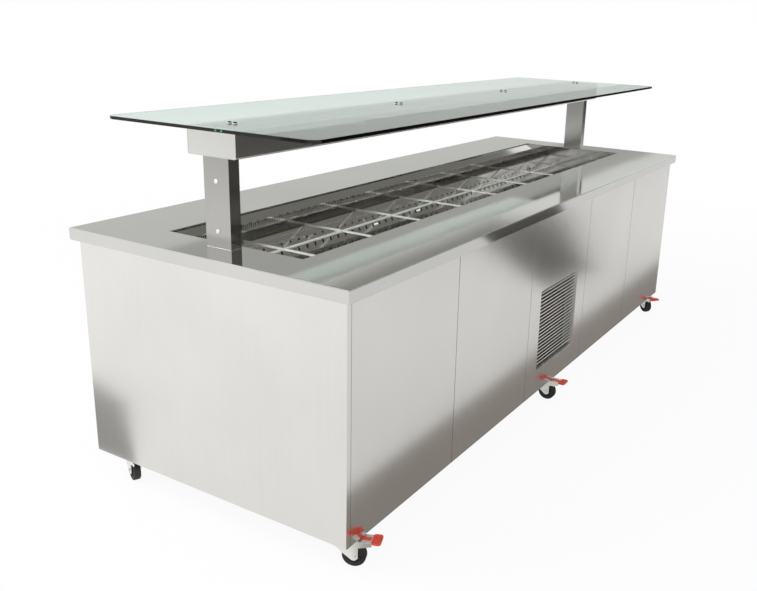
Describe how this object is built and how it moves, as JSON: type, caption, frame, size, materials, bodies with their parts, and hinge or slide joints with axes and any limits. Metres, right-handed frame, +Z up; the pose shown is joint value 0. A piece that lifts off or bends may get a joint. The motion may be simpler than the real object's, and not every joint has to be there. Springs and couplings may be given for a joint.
{
  "type": "mobile refrigerated salad bar",
  "caption": "Long stainless steel island buffet on swivel casters with a ventilated cold well for pans, side panels, a louvre and a glass canopy shelf.",
  "frame": {"origin": "on the floor, under the middle of the object's overall box, brake pedals included", "axes": "+X to the right along the front with the brake pedals, +Y to the back, +Z up"},
  "size_m": [3.07, 1.159, 1.272],
  "materials": {
    "satin_steel": "satin brushed stainless steel",
    "polished_steel": "polished stainless steel",
    "galvanised_sheet": "galvanised",
    "frame_steel": "satin grey paint",
    "insulation": "rigid foam",
    "canopy_glass": "clear toughened glass with a green tint",
    "pad_rubber": "matt black",
    "coil_fins": "mill finish",
    "black_enamel": "gloss black enamel",
    "copper_pipe": "drawn copper",
    "black_plastic": "moulded black",
    "caster_zinc": "bright zinc plate",
    "wheel_rubber": "solid black rubber",
    "pedal_red": "moulded orange-red"
  },
  "bodies": {
    "cabinet": {"worktop": "satin_steel", "well_rim": "satin_steel", "cross_bars": "polished_steel", "long_bar": "polished_steel", "duct_cover": "satin_steel", "air_comb": "polished_steel", "return_grille": "polished_steel", "rear_baffle": "polished_steel", "front_baffle": "polished_steel", "liner_floor": "polished_steel", "tub_liner": "satin_steel", "tub_foam": "insulation", "tub_casing": "galvanised_sheet", "drain_pipe": "galvanised_sheet", "base_frame": "frame_steel", "base_panel": "frame_steel", "body_frame": "frame_steel", "end_panel_left": "satin_steel", "end_panel_right": "satin_steel", "front_panels": "satin_steel", "louvre_panel": "satin_steel", "front_louvre": "satin_steel", "rear_panels": "satin_steel", "rear_louvre": "satin_steel", "left_post": "satin_steel", "right_post": "satin_steel", "post_screws": "polished_steel", "canopy_beam": "satin_steel", "glass_canopy": "canopy_glass", "glass_pads": "pad_rubber", "glass_fixings": "polished_steel", "evaporator_coil": "coil_fins", "evaporator_fan_deck": "galvanised_sheet", "compressor": "black_enamel", "condenser_coil": "black_enamel", "fan_shroud": "black_enamel", "unit_tray": "galvanised_sheet", "receiver": "black_enamel", "refrigerant_pipes": "copper_pipe", "control_box": "galvanised_sheet", "power_gland": "black_plastic", "caster_plates": "caster_zinc"},
    "swivel_1": {"caster_fork_1": "caster_zinc"},
    "wheel_1": {"caster_wheel_1": "wheel_rubber"},
    "swivel_2": {"caster_fork_2": "caster_zinc"},
    "wheel_2": {"caster_wheel_2": "wheel_rubber"},
    "swivel_3": {"caster_fork_3": "caster_zinc"},
    "wheel_3": {"caster_wheel_3": "wheel_rubber"},
    "swivel_4": {"caster_fork_4": "caster_zinc"},
    "wheel_4": {"caster_wheel_4": "wheel_rubber"},
    "swivel_5": {"caster_fork_5": "caster_zinc"},
    "wheel_5": {"caster_wheel_5": "wheel_rubber"},
    "swivel_6": {"caster_fork_6": "caster_zinc"},
    "wheel_6": {"caster_wheel_6": "wheel_rubber"},
    "pedal_1": {"brake_pedal_1": "pedal_red"},
    "pedal_2": {"brake_pedal_2": "pedal_red"},
    "pedal_3": {"brake_pedal_3": "pedal_red"},
    "condenser_fan": {"condenser_rotor": "black_plastic"},
    "evaporator_fan_left": {"evaporator_rotor_left": "black_plastic"},
    "evaporator_fan_right": {"evaporator_rotor_right": "black_plastic"}
  },
  "joints": [
    {"name": "swivel_1_turn", "type": "hinge", "parent": "cabinet", "child": "swivel_1", "pos_m": [-1.4515, -0.4615, 0.09], "axis": [0, 0, 1], "continuous": true},
    {"name": "wheel_1_spin", "type": "hinge", "parent": "swivel_1", "child": "wheel_1", "pos_m": [-1.43876, -0.49302, 0.0375], "axis": [0.9272, 0.3746, 0], "continuous": true},
    {"name": "swivel_2_turn", "type": "hinge", "parent": "cabinet", "child": "swivel_2", "pos_m": [0, -0.4615, 0.09], "axis": [0, 0, 1], "continuous": true},
    {"name": "wheel_2_spin", "type": "hinge", "parent": "swivel_2", "child": "wheel_2", "pos_m": [0, -0.4955, 0.0375], "axis": [1, 0, 0], "continuous": true},
    {"name": "swivel_3_turn", "type": "hinge", "parent": "cabinet", "child": "swivel_3", "pos_m": [1.4515, -0.4615, 0.09], "axis": [0, 0, 1], "continuous": true},
    {"name": "wheel_3_spin", "type": "hinge", "parent": "swivel_3", "child": "wheel_3", "pos_m": [1.43249, -0.48969, 0.0375], "axis": [0.829, -0.5592, 0], "continuous": true},
    {"name": "swivel_4_turn", "type": "hinge", "parent": "cabinet", "child": "swivel_4", "pos_m": [-1.4515, 0.4665, 0.09], "axis": [0, 0, 1], "continuous": true},
    {"name": "wheel_4_spin", "type": "hinge", "parent": "swivel_4", "child": "wheel_4", "pos_m": [-1.46587, 0.43569, 0.0375], "axis": [0.9063, -0.4226, 0], "continuous": true},
    {"name": "swivel_5_turn", "type": "hinge", "parent": "cabinet", "child": "swivel_5", "pos_m": [0, 0.4665, 0.09], "axis": [0, 0, 1], "continuous": true},
    {"name": "wheel_5_spin", "type": "hinge", "parent": "swivel_5", "child": "wheel_5", "pos_m": [-0.01437, 0.43569, 0.0375], "axis": [0.9063, -0.4226, 0], "continuous": true},
    {"name": "swivel_6_turn", "type": "hinge", "parent": "cabinet", "child": "swivel_6", "pos_m": [1.4515, 0.4665, 0.09], "axis": [0, 0, 1], "continuous": true},
    {"name": "wheel_6_spin", "type": "hinge", "parent": "swivel_6", "child": "wheel_6", "pos_m": [1.43713, 0.43569, 0.0375], "axis": [0.9063, -0.4226, 0], "continuous": true},
    {"name": "pedal_1_press", "type": "hinge", "parent": "swivel_1", "child": "pedal_1", "pos_m": [-1.42453, -0.52826, 0.084], "axis": [0.9272, 0.3746, 0], "range_deg": [0, 10]},
    {"name": "pedal_2_press", "type": "hinge", "parent": "swivel_2", "child": "pedal_2", "pos_m": [0, -0.5335, 0.084], "axis": [1, 0, 0], "range_deg": [0, 10]},
    {"name": "pedal_3_press", "type": "hinge", "parent": "swivel_3", "child": "pedal_3", "pos_m": [1.41124, -0.52119, 0.084], "axis": [0.829, -0.5592, 0], "range_deg": [0, 10]},
    {"name": "condenser_fan_spin", "type": "hinge", "parent": "cabinet", "child": "condenser_fan", "pos_m": [0, -0.397, 0.2982], "axis": [0, 1, 0], "continuous": true},
    {"name": "evaporator_fan_left_spin", "type": "hinge", "parent": "cabinet", "child": "evaporator_fan_left", "pos_m": [-0.68625, -0.0895, 0.6435], "axis": [0, 1, 0], "continuous": true},
    {"name": "evaporator_fan_right_spin", "type": "hinge", "parent": "cabinet", "child": "evaporator_fan_right", "pos_m": [0.68625, -0.0895, 0.6435], "axis": [0, 1, 0], "continuous": true}
  ]
}
